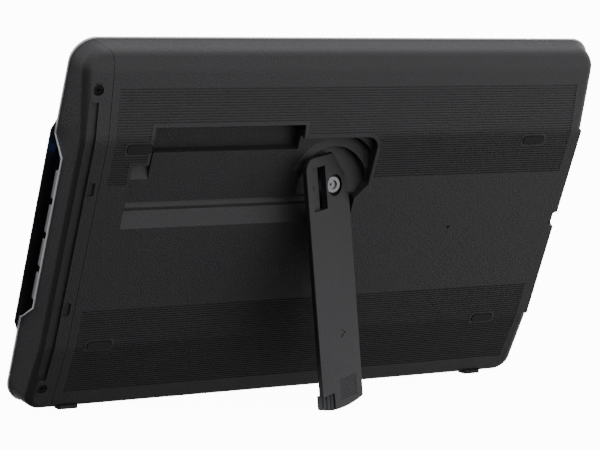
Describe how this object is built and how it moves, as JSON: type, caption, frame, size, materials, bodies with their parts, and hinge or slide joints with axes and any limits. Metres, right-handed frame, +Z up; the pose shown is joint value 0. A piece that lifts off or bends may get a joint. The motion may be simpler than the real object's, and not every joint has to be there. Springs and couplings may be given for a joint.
{
  "type": "pen drawing tablet",
  "caption": "Pen display tablet leaning on one swing-out leg, with a ridged moulded back, a folded-leg pocket, side keys, rubber feet and a framed drawing screen",
  "frame": {"origin": "on the table under the middle of the bounding box", "axes": "+Z up, +X across the tablet, the screen faces -Y and the back with its leg faces +Y"},
  "size_m": [0.4174, 0.1087, 0.259],
  "materials": {
    "housing_plastic": "fine moulded texture",
    "edge_plastic": "satin",
    "trim_silver": "satin silver",
    "bezel_black": "satin black",
    "key_plastic": "satin",
    "rubber_black": "moulded",
    "foot_rubber": "ribbed",
    "steel": "machined",
    "screw_black": "blackened",
    "screen_glass": "etched",
    "panel": "dark screen",
    "board_green": "solder mask",
    "sheet_metal": "plain sheet",
    "bronze": "sintered",
    "lens_blue": "clear"
  },
  "bodies": {
    "tablet": {"back_cover": "housing_plastic", "end_cap": "housing_plastic", "front_bezel": "bezel_black", "left_trim": "trim_silver", "right_trim": "trim_silver", "top_trim": "trim_silver", "bottom_trim": "trim_silver", "screen_glass": "screen_glass", "lcd_panel": "panel", "digitizer_sensor": "board_green", "shield_plate": "sheet_metal", "chassis_frame": "sheet_metal", "frame_screws": "steel", "end_cap_screws": "screw_black", "case_screws": "steel", "main_board": "board_green", "backlight_board": "board_green", "power_inlet": "screw_black", "key_strip": "bezel_black", "key_board": "board_green", "power_lens": "lens_blue", "back_pads": "rubber_black", "bottom_feet": "rubber_black", "pivot_screw": "steel", "hinge_washer": "steel", "hinge_bracket": "sheet_metal", "hinge_nut": "steel"},
    "leg_arm": {"leg": "edge_plastic", "leg_foot": "foot_rubber", "hinge_bush": "bronze"},
    "key_cap_1": {"key_1": "key_plastic"},
    "key_cap_2": {"key_2": "key_plastic"},
    "key_cap_3": {"key_3": "key_plastic"},
    "key_cap_4": {"key_4": "key_plastic"}
  },
  "joints": [
    {"name": "leg_swing", "type": "hinge", "parent": "tablet", "child": "leg_arm", "pos_m": [0.0015, 0.0347, 0.15715], "axis": [0, 0.9998, 0.0175], "range_deg": [-96.9, 0]},
    {"name": "key_1_press", "type": "slide", "parent": "tablet", "child": "key_cap_1", "axis": [-1, 0, 0], "range_m": [0, 0.0008], "stiffness_N_per_m": 600},
    {"name": "key_2_press", "type": "slide", "parent": "tablet", "child": "key_cap_2", "axis": [-1, 0, 0], "range_m": [0, 0.0008], "stiffness_N_per_m": 600},
    {"name": "key_3_press", "type": "slide", "parent": "tablet", "child": "key_cap_3", "axis": [-1, 0, 0], "range_m": [0, 0.0008], "stiffness_N_per_m": 600},
    {"name": "key_4_press", "type": "slide", "parent": "tablet", "child": "key_cap_4", "axis": [-1, 0, 0], "range_m": [0, 0.0008], "stiffness_N_per_m": 600}
  ]
}
